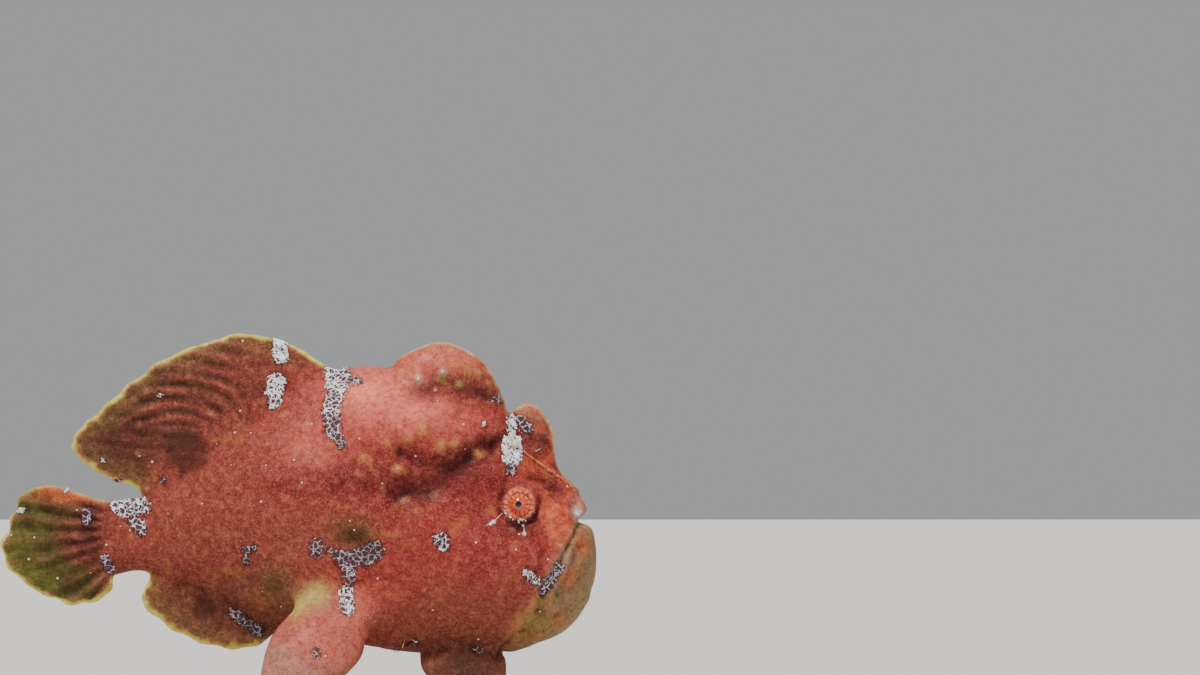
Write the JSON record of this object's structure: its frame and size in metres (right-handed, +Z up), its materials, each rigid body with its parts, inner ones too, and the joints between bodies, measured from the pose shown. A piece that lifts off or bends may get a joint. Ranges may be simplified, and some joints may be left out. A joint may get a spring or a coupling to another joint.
{
  "type": "frogfish",
  "caption": "Deep-bodied fish standing on limb-like fins, with raised back mounds, fan fins and a thin lure laid back over its head.",
  "frame": {"origin": "on the floor under the middle of the animal's bounding box", "axes": "+X from the tail towards the snout, +Y to the animal's left, +Z up from the floor"},
  "size_m": [0.1607, 0.0914, 0.102],
  "materials": {
    "skin": "soft matt skin with a fine grain",
    "jaw": "soft matt skin with a fine grain",
    "mound": "soft matt skin with small warts",
    "fin": "soft matt skin over raised rays",
    "tail": "soft matt skin over raised rays",
    "limb": "soft matt skin with a fine grain",
    "eye": "wet gloss",
    "lure": "matt"
  },
  "bodies": {
    "root": {"head": "skin", "lower_jaw": "jaw", "torso": "skin", "tail_stalk": "skin", "tail_fin": "tail", "soft_dorsal_fin": "fin", "anal_fin": "fin", "third_dorsal_spine": "mound", "second_dorsal_spine": "mound", "lure": "lure", "eye_right": "eye", "eye_left": "eye", "pectoral_arm_right": "limb", "pectoral_arm_left": "limb", "pectoral_fin_right": "fin", "pectoral_fin_left": "fin", "pelvic_fin_right": "limb", "pelvic_fin_left": "limb"}
  },
  "joints": []
}
